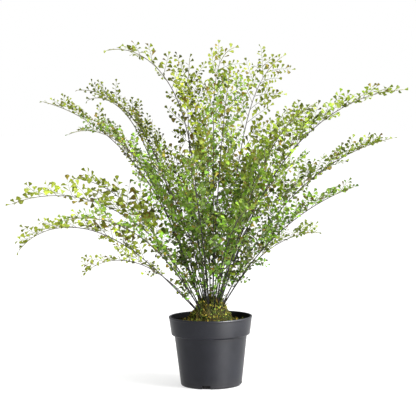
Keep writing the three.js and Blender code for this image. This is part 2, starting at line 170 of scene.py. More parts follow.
class Nodes:
    """Adds nodes to the tree of one material or world. An input is a value or another node's output."""

    def __init__(self, owner):
        owner.use_nodes = True
        self.owner, self.tree = owner, owner.node_tree
        self.tree.nodes.clear()

    def add(self, kind, inputs=None, **settings):
        node = self.tree.nodes.new(kind)
        for name, value in settings.items():
            setattr(node, name, value)
        for name, value in (inputs or {}).items():
            if isinstance(value, bpy.types.NodeSocket):
                self.tree.links.new(value, node.inputs[name])
            else:
                node.inputs[name].default_value = value
        return node

    def math(self, operation, first, second=0.0):
        return self.add("ShaderNodeMath", {0: first, 1: second}, operation=operation).outputs[0]

    def mix(self, share, first, second, blend="MIX"):
        inputs = {0: share, 6: first, 7: second}
        return self.add("ShaderNodeMix", inputs, data_type="RGBA", blend_type=blend).outputs[2]

    def noise(self, where, scale, detail=3.0, roughness=0.5):
        inputs = {"Vector": where, "Scale": scale, "Detail": detail, "Roughness": roughness}
        return self.add("ShaderNodeTexNoise", inputs).outputs["Fac"]

    def spread(self, value, low, high, start=0.0, end=1.0):
        """value, from start to end, made to run from low to high."""
        inputs = {"Value": value, "From Min": start, "From Max": end, "To Min": low, "To Max": high}
        return self.add("ShaderNodeMapRange", inputs).outputs[0]

    def bump(self, height, distance, strength=1.0):
        inputs = {"Height": height, "Distance": distance, "Strength": strength}
        return self.add("ShaderNodeBump", inputs).outputs[0]

    def place(self):
        return self.add("ShaderNodeTexCoord").outputs["Object"]

    def axis(self, vector, name):
        return self.add("ShaderNodeSeparateXYZ", {0: vector}).outputs[name]

    def stretched(self, vector, scale):
        return self.add("ShaderNodeMapping", {"Vector": vector, "Scale": scale}).outputs[0]

    def tint(self):
        """The tint that each point of a piece carries, with its age as the alpha."""
        return self.add("ShaderNodeAttribute", attribute_name="tint").outputs

    def shaded(self, tint, shade):
        return self.add("ShaderNodeVectorMath", {0: tint, "Scale": shade}, operation="SCALE").outputs[0]

    def surface(self, base, roughness, specular, normal):
        inputs = {"Base Color": base, "Roughness": roughness, "Normal": normal}
        inputs["Specular IOR Level"] = specular
        return self.add("ShaderNodeBsdfPrincipled", inputs).outputs[0]

    def finished(self, shader):
        """The material, with shader as its surface."""
        self.add("ShaderNodeOutputMaterial", {"Surface": shader})
        return self.owner


def add_world():
    """White all round to look at. Its light is less even, so that the plant has light and shade."""
    world = bpy.data.worlds.new("studio")
    bpy.context.scene.world = world
    nodes = Nodes(world)
    direction = nodes.add("ShaderNodeTexCoord").outputs["Generated"]
    depth = nodes.spread(nodes.axis(direction, "Y"), WORLD.front, WORLD.back, -0.7, 0.7)
    side = nodes.spread(nodes.axis(direction, "X"), WORLD.left, WORLD.right, -1.0, 1.0)
    level = nodes.math("MULTIPLY", depth, side)
    above = nodes.spread(nodes.axis(direction, "Z"), 0.0, 1.0, 0.25, 0.95)
    light = nodes.add("ShaderNodeMix", {0: above, 2: level, 3: WORLD.above}).outputs[0]
    seen = nodes.add("ShaderNodeLightPath").outputs["Is Camera Ray"]
    strength = nodes.add("ShaderNodeMix", {0: seen, 2: light, 3: 1.0}).outputs[0]
    shader = nodes.add("ShaderNodeBackground", {"Color": (1, 1, 1, 1), "Strength": strength})
    nodes.add("ShaderNodeOutputWorld", {"Surface": shader.outputs[0]})


def add_softbox(name, azimuth, elevation, distance, size, power, gloss_only=False):
    """An oblong light that faces the plant's middle, distance metres away. azimuth 0 is in front.

    One that is gloss_only gives the pot its sheen and leaves matt surfaces as they are.
    """
    data = bpy.data.lights.new(name, "AREA")
    data.shape = "RECTANGLE"
    data.size, data.size_y = size
    data.energy = power
    lamp = new_object(name, data)
    a, e = radians(azimuth), radians(elevation)
    back = Vector((sin(a) * cos(e), -cos(a) * cos(e), sin(e)))
    middle = Vector((0, 0, 0.25))
    lamp.location = middle + back * distance
    lamp.rotation_euler = back.to_track_quat("Z", "Y").to_euler()
    lamp.visible_diffuse = not gloss_only


def add_floor():
    """A pale floor that glows, a little more away from the plant, as a lit studio sweep does."""
    half = 30000
    corners = [(-half, -half, 0), (half, -half, 0), (half, half, 0), (-half, half, 0)]
    mesh = mesh_of("floor", corners, [(0, 1, 2, 3)])
    nodes = Nodes(bpy.data.materials.new("studio_floor"))
    distance = nodes.add("ShaderNodeVectorMath", {0: nodes.place()}, operation="LENGTH").outputs["Value"]
    shader = nodes.add("ShaderNodeBsdfPrincipled", {
        "Base Color": colour("#b0b0b0"),
        "Roughness": 0.9,
        "Specular IOR Level": 0.1,
        "Emission Color": (1, 1, 1, 1),
        "Emission Strength": nodes.spread(distance, 0.6, 0.68, 0.2, 1.6),
    })
    mesh.materials.append(nodes.finished(shader.outputs[0]))
    new_object("floor", mesh)


bpy.context.scene.view_settings.view_transform = "Standard"
add_world()
add_softbox("key", azimuth=58, elevation=44, distance=2.2, size=(1.0, 1.4), power=84)
add_softbox("strip", azimuth=44, elevation=-4, distance=1.7, size=(0.3, 0.7), power=360, gloss_only=True)
add_softbox("side", azimuth=84, elevation=-2, distance=1.7, size=(1.2, 0.9), power=80, gloss_only=True)
add_softbox("top", azimuth=30, elevation=78, distance=2.2, size=(1.2, 1.2), power=16)
add_floor()

# ------------ materials


def plastic_material(name, dark, light, roughness):
    """Moulded charcoal polypropylene: fine grain, faint rings from the mould, scuffs and dust."""
    nodes = Nodes(bpy.data.materials.new(name))
    place = nodes.place()
    grain = nodes.noise(place, 1400, 2)
    cloud = nodes.noise(place, 22, 4, 0.6)
    rings = nodes.noise(nodes.stretched(place, (60, 60, 900)), 1.0, 2)
    streaks = nodes.noise(nodes.stretched(place, (900, 900, 40)), 1.0, 3, 0.7)
    scuffed = nodes.spread(cloud, 0, 1, 0.5, 0.72)
    scuff = nodes.math("MULTIPLY", nodes.spread(streaks, 0, 1, 0.62, 0.78), scuffed)
    dust = nodes.spread(nodes.axis(place, "Z"), 0.22, 0.0, 0.0, 0.016)
    base = nodes.mix(nodes.spread(cloud, 0, 1, 0.3, 0.7), colour(dark), colour(light))
    base = nodes.mix(nodes.math("MULTIPLY", scuff, 0.35), base, colour("#6c6c70"))
    base = nodes.mix(nodes.math("MULTIPLY", dust, cloud), base, colour("#5e5a56"))
    relief = nodes.math("ADD", nodes.math("MULTIPLY", grain, 0.5), nodes.math("MULTIPLY", rings, 0.5))
    rough = nodes.spread(nodes.math("ADD", cloud, grain), *roughness, 0.6, 1.4)
    shader = nodes.surface(base, rough, 0.16, nodes.bump(relief, 0.00012, 0.35))
    return nodes.finished(shader)


def soil_material():
    """Dark, crumbly compost with lighter specks, with painted shade: darker lower down, where the drain
    notches show it.
    """
    nodes = Nodes(bpy.data.materials.new("potting_soil"))
    place = nodes.place()
    crumbs = nodes.noise(place, 260, 5, 0.7)
    specks = nodes.add("ShaderNodeTexVoronoi", {"Vector": place, "Scale": 210}).outputs["Distance"]
    base = nodes.mix(nodes.spread(crumbs, 0, 1, 0.35, 0.7), colour("#120d09"), colour("#2c2018"))
    base = nodes.mix(nodes.spread(specks, 0.6, 0.0, 0.0, 0.16), base, colour("#5c4c3a"))
    # Painted shade: towards the bottom of the pot the soil runs to near black.
    painted_shade_low = nodes.spread(nodes.axis(place, "Z"), 0.85, 0.0, 0.02, 0.08)
    base = nodes.mix(painted_shade_low, base, colour("#060505"))
    return nodes.finished(nodes.surface(base, 0.95, 0.15, nodes.bump(crumbs, 0.002)))


def moss_material():
    """Moss, dry fibre and litter. Their tints are broken up by finer grain, and darkened in the hollows
    of the bump as painted shade.
    """
    nodes = Nodes(bpy.data.materials.new("moss"))
    place = nodes.place()
    fine = nodes.noise(place, 900, 4, 0.7)
    coarse = nodes.noise(place, 240, 3, 0.6)
    # Painted shade: where the coarse noise, which the bump makes lower, is low, the moss is darkened.
    hollow_painted_shade = nodes.spread(coarse, 0.75, 0.0, 0.3, 0.52)
    dark = nodes.mix(hollow_painted_shade, nodes.tint()["Color"], colour("#2a2210"), "MULTIPLY")
    base = nodes.shaded(dark, nodes.spread(fine, 0.55, 1.35, 0.3, 0.7))
    normal = nodes.bump(nodes.math("ADD", fine, coarse), 0.0012)
    return nodes.finished(nodes.surface(base, nodes.spread(fine, 0.75, 0.98), 0.08, normal))


def leaf_material():
    """A thin leaflet: fan veins, mottling, a browner margin with age, and light that shines through."""
    nodes = Nodes(bpy.data.materials.new("fern_leaflet"))
    place = nodes.place()
    tint = nodes.tint()
    fan = nodes.add("ShaderNodeUVMap", uv_map="fan").outputs[0]
    across, outward = nodes.axis(fan, "X"), nodes.axis(fan, "Y")
    vein_count = 11
    wave = nodes.math("SINE", nodes.math("MULTIPLY", across, vein_count * pi))
    ridge = nodes.math("POWER", nodes.math("SUBTRACT", 1.0, nodes.math("ABSOLUTE", wave)), 5.0)
    vein = nodes.math("MULTIPLY", ridge, nodes.spread(outward, 1.0, 0.35, 0.2, 1.0))
    mottle = nodes.noise(place, 420, 3, 0.6)
    base = nodes.shaded(tint["Color"], nodes.spread(mottle, 0.78, 1.22, 0.3, 0.7))
    base = nodes.mix(nodes.math("MULTIPLY", vein, 0.35), base, colour("#c9d87a"))
    margin = nodes.math("MULTIPLY", nodes.spread(outward, 0.0, 1.0, 0.7, 1.0), tint["Alpha"])
    base = nodes.mix(margin, base, colour("#80702c"))
    relief = nodes.math("ADD", vein, nodes.math("MULTIPLY", mottle, 0.6))
    rough = nodes.spread(mottle, 0.46, 0.66)
    shader = nodes.surface(base, rough, 0.12, nodes.bump(relief, 0.00015, 0.6))
    glow = nodes.mix(1.0, base, colour("#ecf28e"), "MULTIPLY")
    through = nodes.add("ShaderNodeBsdfTranslucent", {"Color": glow})
    both = nodes.add("ShaderNodeMixShader", {0: 0.4, 1: shader, 2: through.outputs[0]})
    return nodes.finished(both.outputs[0])


def stem_material():
    """A wiry, half glossy stem with fine lengthwise streaks."""
    nodes = Nodes(bpy.data.materials.new("fern_stem"))
    round_and_along = nodes.add("ShaderNodeUVMap", uv_map="fan").outputs[0]
    streak = nodes.noise(nodes.stretched(round_and_along, (9, 0.12, 1)), 1.0, 3, 0.6)
    base = nodes.shaded(nodes.tint()["Color"], nodes.spread(streak, 0.65, 1.4, 0.3, 0.7))
    rough = nodes.spread(streak, 0.38, 0.56)
    return nodes.finished(nodes.surface(base, rough, 0.16, nodes.bump(streak, 0.0002, 0.5)))


LEAF, WOOD = leaf_material(), stem_material()

# ------------ mesh building


class Shape:
    """Closed surfaces that make up one piece, with what each of their corners carries."""

    def __init__(self):
        self.points, self.faces, self.tints, self.fans, self.rims, self.kinds = [], [], [], [], [], []
        self.count = 0

    def add(self, points, faces, tints, fans, rims=None, kind=0):
        """tints are colours with an age as their fourth number. kind is the index of the material."""
        size = len(points)
        self.points.append(np.asarray(points, float))
        self.faces.extend([tuple(self.count + i for i in face) for face in faces])
        self.tints.append(np.broadcast_to(np.asarray(tints, float), (size, 4)))
        self.fans.append(np.asarray(fans, float))
        self.rims.append(np.zeros(size, bool) if rims is None else rims)
        self.kinds.extend([kind] * len(faces))
        self.count += size


def add_piece(name, shape, materials, replaces=()):
    """Turns a Shape into a Blender object that rides on the part's one body."""
    mesh = mesh_of(name, np.vstack(shape.points), shape.faces)
    for material in materials:
        mesh.materials.append(material)
    mesh.polygons.foreach_set("material_index", shape.kinds)
    tints = mesh.attributes.new("tint", "FLOAT_COLOR", "POINT")
    tints.data.foreach_set("color", np.vstack(shape.tints).astype(np.float32).ravel())
    corner_points = np.empty(len(mesh.loops), np.int32)
    mesh.loops.foreach_get("vertex_index", corner_points)
    fans = np.vstack(shape.fans).astype(np.float32)[corner_points]
    mesh.uv_layers.new(name="fan").data.foreach_set("uv", fans.ravel())
    edges = np.empty(2 * len(mesh.edges), np.int32)
    mesh.edges.foreach_get("vertices", edges)
    sharp = np.hstack(shape.rims)[edges].reshape(-1, 2).all(axis=1)
    mesh.attributes.new("sharp_edge", "BOOLEAN", "EDGE").data.foreach_set("value", sharp)
    mesh.shade_smooth()
    mesh.validate()
    add_object(name, mesh, replaces)


def add_object(name, mesh, replaces=()):
    obj = new_object(name, mesh)
    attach(obj, BODY)
    if replaces:
        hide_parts(*replaces)


def lerp(low, high, share):
    return low + (high - low) * share


def unit(vector):
    return vector / np.linalg.norm(vector)


def turned_about(vector, axis, angle):
    c, s = cos(angle), sin(angle)
    return vector * c + np.cross(axis, vector) * s + axis * (axis @ vector) * (1 - c)


# A place on a frond with three directions: along the stem or rib, across it, and face, the way
# its upper side looks.
Place = namedtuple("Place", "origin along across face")


def place_at(origin, along, across):
    return Place(origin, along, across, np.cross(along, across))


def add_tube(shape, places, radii, sides, tints, kind=1):
    """A tube through places, with closed ends. tints has a colour for each place."""
    points, fans, faces, ring_tints = [], [], [], []
    run = 0.0
    for i, (place, radius) in enumerate(zip(places, radii)):
        if i > 0:
            run += np.linalg.norm(place.origin - places[i - 1].origin)
        for j in range(sides):
            a = 2 * pi * j / sides
            points.append(place.origin + radius * (cos(a) * place.across + sin(a) * place.face))
            fans.append((j / sides, run))
            ring_tints.append(tints[i])
    for i in range(len(places) - 1):
        for j in range(sides):
            here, after = i * sides + j, i * sides + (j + 1) % sides
            faces.append((here, after, after + sides, here + sides))
    last = (len(places) - 1) * sides
    faces.append(tuple(reversed(range(sides))))
    faces.append(tuple(last + j for j in range(sides)))
    shape.add(points, faces, ring_tints, fans, kind=kind)


# ------------ leaflets

# In shares of a leaflet's length. Its outline has a foot, a middle row of points and a margin.
LEAFLET = Values(
    margin_points=11,
    margin_bow=0.05,
    corner_rounding=0.24,
    middle_points=3,
    middle_reach=0.52,
    middle_spread=0.86,
    base_half=0.035,
    thickness=0.03,
    notch_width=0.24,
    bend=0.10,
    wave_pitch=7,
)


def stitched(first, second):
    """Triangles between two rows of corners with different counts."""
    triangles = []
    i = j = 0
    ends = (len(first) - 1, len(second) - 1)
    while (i, j) != ends:
        if j == ends[1] or (i < ends[0] and (i + 0.5) / ends[0] < (j + 0.5) / ends[1]):
            triangles.append((first[i], second[j], first[i + 1]))
            i += 1
        else:
            triangles.append((first[i], second[j], second[j + 1]))
            j += 1
    return triangles


def leaflet_form(half_angle, lobes, notch, cup, wave):
    """A fan-shaped leaflet of unit length with its foot at the origin, as (points, faces, fans, rims)."""
    half_angle = radians(half_angle)

    def margin(share):
        """How far the leaflet reaches at a share of its spread, from -1 to 1."""
        rounding = 1 - LEAFLET.margin_bow * share ** 2 - LEAFLET.corner_rounding * abs(share) ** 7
        lobe = (share + 1) / 2 * lobes
        seam = round(lobe)
        inner = 0 < seam < lobes
        cut = notch * max(0.0, 1 - abs(lobe - seam) / LEAFLET.notch_width) if inner else 0.0
        return rounding - cut

    rows = [[(0.0, side * LEAFLET.base_half, 0.5 + side * 0.5, 0.0) for side in (-1, 1)]]
    for count, is_margin in ((LEAFLET.middle_points, False), (LEAFLET.margin_points, True)):
        row = []
        for i in range(count):
            share = 2 * i / (count - 1) - 1
            reach = margin(share) if is_margin else LEAFLET.middle_reach
            angle = share * half_angle * (1.0 if is_margin else LEAFLET.middle_spread)
            row.append((reach * cos(angle), reach * sin(angle), (share + 1) / 2, reach))
        rows.append(row)
    flat = np.array([item for row in rows for item in row])
    along, across = flat[:, 0], flat[:, 1]
    waves = wave * np.sin(LEAFLET.wave_pitch * across) * along ** 2
    raised = cup * across ** 2 - LEAFLET.bend * along ** 2 + waves
    starts = np.cumsum([0] + [len(row) for row in rows])
    index = [list(range(starts[i], starts[i + 1])) for i in range(len(rows))]
    size = len(flat)
    under = [(a, b, c) for first, second in zip(index, index[1:]) for a, b, c in stitched(first, second)]
    edge = index[0][:1] + [index[1][0]] + index[2] + [index[1][-1]] + index[0][1:]
    faces = [(a + size, c + size, b + size) for a, b, c in under] + under
    for here, after in zip(edge, edge[1:] + edge[:1]):
        faces.append((here, here + size, after + size, after))
    half = LEAFLET.thickness / 2
    low = np.column_stack([along, across, raised - half])
    high = np.column_stack([along, across, raised + half])
    rims = np.zeros(2 * size, bool)
    rims[edge] = True
    rims[[i + size for i in edge]] = True
    return np.vstack([low, high]), faces, np.vstack([flat[:, 2:], flat[:, 2:]]), rims


LEAFLET_FORMS = [
    leaflet_form(half_angle=32, lobes=3, notch=0.09, cup=0.5, wave=0.05),
    leaflet_form(half_angle=27, lobes=2, notch=0.08, cup=0.3, wave=-0.07),
    leaflet_form(half_angle=37, lobes=4, notch=0.07, cup=0.6, wave=0.04),
    leaflet_form(half_angle=22, lobes=2, notch=0.05, cup=-0.25, wave=0.08),
    leaflet_form(half_angle=30, lobes=3, notch=0.11, cup=1.1, wave=-0.04),
]

# ------------ colours of the plant


def palette(*codes):
    return [np.array(colour(code)) for code in codes]


TONES = {
    "lime": palette("#6b721e", "#a0ac30", "#b6c24a", "#8b9828", "#bcc864"),
    "green": palette("#3a4e18", "#5e8c28", "#8ab436", "#4a7020", "#a0c846"),
    "olive": palette("#464c16", "#6e7c20", "#92a030", "#5a641c", "#a4ae38"),
}
TURNING = palette("#8c8430", "#6f6426", "#ada038", "#7a5e28")
STEM_COLOURS = palette("#0f0b0e", "#1a1417", "#292124", "#3e3632", "#74723e")
RIB_COLOURS = palette("#3a322c", "#7f8c4c")

# Old leaflets are turning, and the others have an age up to young_age. The other pairs run from the
# heart of the bush to its tips.
LEAF_COLOUR = Values(
    turning_share=0.09,
    turning_age=0.9,
    young_age=0.5,
    lime_share=0.5,
    dimmest=(0.24, 0.76),
    brightest=(2.25, 1.1),
)


def mixed(colours, share):
    """The colour at a share of the way through a palette."""
    place = min(max(share, 0.0), 1.0) * (len(colours) - 1)
    i = min(int(place), len(colours) - 2)
    return lerp(colours[i], colours[i + 1], place - i)


def leaf_tint(draw, tones, leaf_share, shade):
    """A leaflet's colour, with its age as the fourth number. Tips are yellower than the heart."""
    if draw.random_sample() < LEAF_COLOUR.turning_share:
        tint = mixed(TURNING, draw.random_sample())
        tint[3] = LEAF_COLOUR.turning_age
    else:
        tint = mixed(tones, draw.random_sample())
        young = mixed(TONES["lime"], draw.random_sample())
        tint = lerp(tint, young, LEAF_COLOUR.lime_share * leaf_share * draw.random_sample())
        tint[3] = LEAF_COLOUR.young_age * draw.random_sample() ** 2
    dimmest = lerp(*LEAF_COLOUR.dimmest, leaf_share)
    brightest = lerp(*LEAF_COLOUR.brightest, leaf_share)
    tint[:3] *= shade * lerp(dimmest, brightest, draw.random_sample())
    return tint


# ------------ fronds

# How the finer parts grow, in millimetres, degrees and shares of a length. A pair runs from the foot
# of a stem or rib to its tip, or is the least and the most of what is drawn at random.
FINER = Values(
    # The stem. A short one is thinner than stem_half, which is for one as long as full_stem.
    stem_half=(1.2, 0.52),
    full_stem=480,
    least_stoutness=0.6,
    stem_sides=8,
    stem_rings=60,
    # A frond is upright where it leans and arches less than this, and arching otherwise.
    upright_lean=15.5,
    upright_arch=76,
    # Arching fronds that grow towards +X are this much greener.
    greening=0.35,
    # Side ribs, up to last_share of the stem, none higher than the ceiling. They crowd towards the
    # tip where crowding is low. They are shorter where they start, by first_swell.
    last_share=0.93,
    rib_spacing=12,
    crowding={"arching": 1.0, "upright": 0.85},
    angle=(28, 56),
    lift={"arching": (8, 80), "upright": (-20, 50)},
    longest=58,
    shortest={"arching": 24, "upright": 44},
    first_swell=0.7,
    swelling=1.5,
    reach_scatter=(0.8, 1.15),
    ceiling=530,
    least_rise=0.1,
    tip_shrink={"arching": 0.1, "upright": 0.22},
    rib_shade=(0.55, 0.85),
    lightest_rib=1.2,
    # The shape of a side rib, which sways sideways and droops.
    droop=(0.05, 0.4),
    sway=0.35,
    rib_half=(0.42, 0.2),
    rib_sides=5,
    rib_step=6,
    # Every third long rib forks twice.
    fork_from=40,
    fork_every=3,
    fork_places=(0.2, 0.36),
    fork_share=0.42,
    fork_scatter=(0.85, 1.1),
    fork_shrink=0.92,
    # Short sprays below the side ribs, closer together lower down where spray_crowding is high.
    spray_spacing=7.5,
    spray_crowding=1.8,
    spray_lift=(-80, 80),
    spray_reach=(12, 38),
    spray_size=0.78,
    spray_shade=(0.5, 1.2),
    # Leaflets on the last of the stem, tip_step apart and lifted by tip_lift, in radians.
    tip_leaflets={"arching": 5, "upright": 13},
    tip_step=0.014,
    tip_size=(0.95, 0.75),
    tip_lift=0.3,
    last_leaflet=0.7,
    # Leaflets along a side rib, from rib_bare of its length. Their spacing is a share of their size.
    rib_bare=0.16,
    leaflet_spacing=0.56,
    leaflet_angle=(46, 68),
    leaflet_sizes=(1.08, 0.74),
    size_scatter=(0.84, 1.14),
    width_scatter=(0.82, 1.08),
    rib_end_leaflet=0.8,
    roll=55,
    pitch=32,
    stalk=0.22,
    stalk_overlap=0.06,
    stalk_half=0.16,
    # Where in RIB_COLOURS a rib starts and ends, and where its stalks are.
    rib_colours=(0.3, 1.0),
    stalk_colour=0.6,
)

# The heart of the bush: a ball round its middle, taller than it is wide. Leaflets are painted darker, as
# painted shade, from the first share at its middle to the second at radius and beyond.
HEART = Values(
    middle=np.array([0.0, 0.0, 235.0]),
    flatten=np.array([1.0, 1.0, 0.7]),
    radius=110,
    shade=(0.4, 1.14),
)

Frond = namedtuple("Frond", "heading lean length arch hold bare turn tone full_size fullness low")

# What a rib's leaflets have in common. leaf_share is how far up the stem's leafy part the rib is.
Leafage = namedtuple("Leafage", "size tones leaf_share shade")


def drawn(draw, low, high):
    return lerp(low, high, draw.random_sample())


def drawn_angle(draw, low, high):
    return radians(drawn(draw, low, high))


def stem_curve(frond):
    """The stem's curve, as a function from the share of its length to a Place."""
    heading = radians(frond.heading)
    outward = np.array([cos(heading), sin(heading), 0.0])
    sideways = np.cross(UP, outward)
    ring_share = sin(radians(frond.lean)) / sin(radians(STEM.widest_lean))
    steps = STEM.steps

    def direction(share):
        tilt = radians(frond.lean + frond.arch * share ** frond.hold)
        return outward * sin(tilt) + UP * cos(tilt)

    line = [outward * lerp(STEM.inner_ring, STEM.outer_ring, ring_share) + UP * STEM.foot_height]
    for i in range(steps):
        line.append(line[-1] + direction((i + 0.5) / steps) * frond.length / steps)

    def curve(share):
        place = min(max(share, 0.0), 1.0) * steps
        i = min(int(place), steps - 1)
        along = direction(share)
        origin = lerp(line[i], line[i + 1], place - i)
        return place_at(origin, along, turned_about(sideways, along, radians(frond.turn)))

    return curve


def branch(parent, side, angle, lift):
    """What grows out of parent on side 1 or -1, at an angle to its run and lifted out of its plane."""
    out = parent.across * side * cos(lift) + parent.face * sin(lift)
    along = unit(parent.along * cos(angle) + out * sin(angle))
    across = unit(parent.along - along * (parent.along @ along)) * -side
    return place_at(parent.origin, along, across)


def along_rib(root, distance, length, pull):
    """A place along a side rib, which bends the way that pull points."""
    along = unit(root.along + pull * distance / length)
    across = unit(root.across - along * (root.across @ along))
    origin = root.origin + root.along * distance + pull * distance ** 2 / (2 * length)
    return place_at(origin, along, across)


def heart_shade(place):
    """Painted shade: leaves deep in the bush are painted darker than the ones outside."""
    depth = np.linalg.norm((place.origin - HEART.middle) * HEART.flatten) / HEART.radius
    return lerp(*HEART.shade, min(depth, 1.0))


def add_leaflet(shape, draw, foot, size, tint):
    """A leaflet on a hair-thin stalk. foot is where the stalk starts, running the leaflet's way."""
    roll = radians(FINER.roll) * (2 * draw.random_sample() - 1)
    pitch = radians(FINER.pitch) * (2 * draw.random_sample() - 1)
    across = turned_about(foot.across, foot.along, roll)
    along = turned_about(foot.along, across, pitch)
    base = foot.origin + foot.along * FINER.stalk * size
    face = np.cross(along, across)
    points, faces, fans, rims = LEAFLET_FORMS[draw.randint(len(LEAFLET_FORMS))]
    mirror = 1 if draw.random_sample() < 0.5 else -1
    width = mirror * size * drawn(draw, *FINER.width_scatter)
    flat = points[:, :1] * size * along + points[:, 1:2] * width * across
    placed = base + flat + points[:, 2:] * size * face
    if mirror < 0:
        faces = [tuple(reversed(f)) for f in faces]
    shape.add(placed, faces, tint, fans, rims)
    half = FINER.stalk_half
    stalk = [foot, place_at(base + along * FINER.stalk_overlap * size, along, across)]
    add_tube(shape, stalk, [half, half], 3, [mixed(RIB_COLOURS, FINER.stalk_colour)] * 2)


def add_rib_leaflet(shape, draw, foot, size, leafage):
    shade = leafage.shade * heart_shade(foot)
    add_leaflet(shape, draw, foot, size, leaf_tint(draw, leafage.tones, leafage.leaf_share, shade))


def add_rib(shape, draw, root, length, side, leafage, forks=0):
    """A side rib with its leaflets, alternately on its two sides, and one at its end."""
    pull = root.across * FINER.sway * drawn(draw, -1, 1) - UP * drawn(draw, *FINER.droop)
    count = max(3, round(length / (FINER.leaflet_spacing * leafage.size)))
    rings = max(3, round(length / FINER.rib_step))
    places = [along_rib(root, length * i / rings, length, pull) for i in range(rings + 1)]
    halves = [lerp(*FINER.rib_half, i / rings) for i in range(rings + 1)]
    tints = [mixed(RIB_COLOURS, lerp(*FINER.rib_colours, i / rings)) for i in range(rings + 1)]
    add_tube(shape, places, halves, FINER.rib_sides, tints)
    for k in range(count):
        distance = length * lerp(FINER.rib_bare, 1.0, (k + 0.2) / count)
        hand = side if k % 2 == 0 else -side
        spread = drawn_angle(draw, *FINER.leaflet_angle)
        foot = branch(along_rib(root, distance, length, pull), hand, spread, 0)
        size = leafage.size * lerp(*FINER.leaflet_sizes, k / count) * drawn(draw, *FINER.size_scatter)
        add_rib_leaflet(shape, draw, foot, size, leafage)
    end = along_rib(root, length, length, pull)
    add_rib_leaflet(shape, draw, end, FINER.rib_end_leaflet * leafage.size, leafage)
    for k in range(forks):
        hand = side if k % 2 == 0 else -side
        spread = drawn_angle(draw, *FINER.angle)
        fork = branch(along_rib(root, FINER.fork_places[k] * length, length, pull), hand, spread, 0)
        reach = length * FINER.fork_share * drawn(draw, *FINER.fork_scatter)
        smaller = leafage._replace(size=FINER.fork_shrink * leafage.size)
        add_rib(shape, draw, fork, reach, hand, smaller)


def add_stem(shape, frond, curve):
    rings = FINER.stem_rings
    shares = [i / rings for i in range(rings + 1)]
    stoutness = lerp(FINER.least_stoutness, 1.0, frond.length / FINER.full_stem)
    halves = [stoutness * lerp(*FINER.stem_half, share) for share in shares]
    tints = [mixed(STEM_COLOURS, share) for share in shares]
    add_tube(shape, [curve(share) for share in shares], halves, FINER.stem_sides, tints)


def add_side_ribs(shape, draw, frond, curve, tones, habit):
    leafy = FINER.last_share - frond.bare
    count = round(frond.fullness * leafy * frond.length / FINER.rib_spacing)
    for j in range(count):
        leaf_share = ((j + 0.5) / count) ** FINER.crowding[habit]
        share = frond.bare + leafy * leaf_share
        side = -1 if j % 2 else 1
        angle = drawn_angle(draw, *FINER.angle)
        lift = drawn_angle(draw, *FINER.lift[habit])
        swell = min(1, FINER.first_swell + FINER.swelling * leaf_share)
        reach = lerp(FINER.longest, FINER.shortest[habit], leaf_share) * swell
        reach *= drawn(draw, *FINER.reach_scatter)
        size = frond.full_size * (1 - FINER.tip_shrink[habit] * leaf_share)
        shade = drawn(draw, lerp(*FINER.rib_shade, leaf_share), FINER.lightest_rib)
        root = branch(curve(share), side, angle, lift)
        room = (FINER.ceiling - root.origin[2]) / max(root.along[2], FINER.least_rise)
        reach = min(reach, room)
        forks = 2 if reach > FINER.fork_from and j % FINER.fork_every == 1 else 0
        add_rib(shape, draw, root, reach, side, Leafage(size, tones, leaf_share, shade), forks)


def add_sprays(shape, draw, frond, curve, tones):
    size = FINER.spray_size * frond.full_size
    for _ in range(round((frond.bare - frond.low) * frond.length / FINER.spray_spacing)):
        side = 1 if draw.random_sample() < 0.5 else -1
        angle = drawn_angle(draw, *FINER.angle)
        lift = drawn_angle(draw, *FINER.spray_lift)
        height_share = draw.random_sample() ** FINER.spray_crowding
        root = branch(curve(lerp(frond.low, frond.bare, height_share)), side, angle, lift)
        reach = lerp(*FINER.spray_reach, height_share * draw.random_sample())
        shade = drawn(draw, *FINER.spray_shade)
        add_rib(shape, draw, root, reach, side, Leafage(size, tones, 0.0, shade))


def add_tip(shape, draw, frond, curve, tones, habit):
    count = FINER.tip_leaflets[habit]
    for k in range(count):
        share = 1 - FINER.tip_step * (count - k)
        spread = drawn_angle(draw, *FINER.leaflet_angle)
        foot = branch(curve(share), -1 if k % 2 else 1, spread, FINER.tip_lift)
        size = frond.full_size * lerp(*FINER.tip_size, k / count)
        add_leaflet(shape, draw, foot, size, leaf_tint(draw, tones, 1.0, 1.0))
    size = FINER.last_leaflet * frond.full_size
    add_leaflet(shape, draw, curve(1.0), size, leaf_tint(draw, tones, 1.0, 1.0))


def add_frond(number, frond):
    draw = np.random.RandomState(100 + number)
    curve = stem_curve(frond)
    is_upright = frond.lean < FINER.upright_lean and frond.arch < FINER.upright_arch
    habit = "upright" if is_upright else "arching"
    towards_x = 0.0 if is_upright else max(0.0, cos(radians(frond.heading)))
    own_tones = TONES[frond.tone]
    tones = [lerp(*pair, FINER.greening * towards_x) for pair in zip(own_tones, TONES["green"])]
    shape = Shape()
    add_stem(shape, frond, curve)
    add_side_ribs(shape, draw, frond, curve, tones, habit)
    add_sprays(shape, draw, frond, curve, tones)
    add_tip(shape, draw, frond, curve, tones, habit)
    node = f"frond_{number:02d}"
    add_piece(f"{node}_leafy", shape, [LEAF, WOOD], [node])


for number, row in enumerate(FRONDS, start=1):
    add_frond(number, Frond(*row))

# ------------ the pot


def filleted(corners):
    """An outline from corners of (radius, height, fillet), each rounded with a few points."""
    points = []
    for i, (r, z, fillet) in enumerate(corners):
        here = np.array([r, z], float)
        if fillet == 0:
            points.append(here)
            continue
        before = np.array(corners[i - 1][:2], float) - here
        after = np.array(corners[i + 1][:2], float) - here
        start = here + unit(before) * min(fillet, np.linalg.norm(before) / 2)
        end = here + unit(after) * min(fillet, np.linalg.norm(after) / 2)
        for t in np.linspace(0, 1, 5):
            points.append(start * (1 - t) ** 2 + 2 * here * t * (1 - t) + end * t ** 2)
    return points


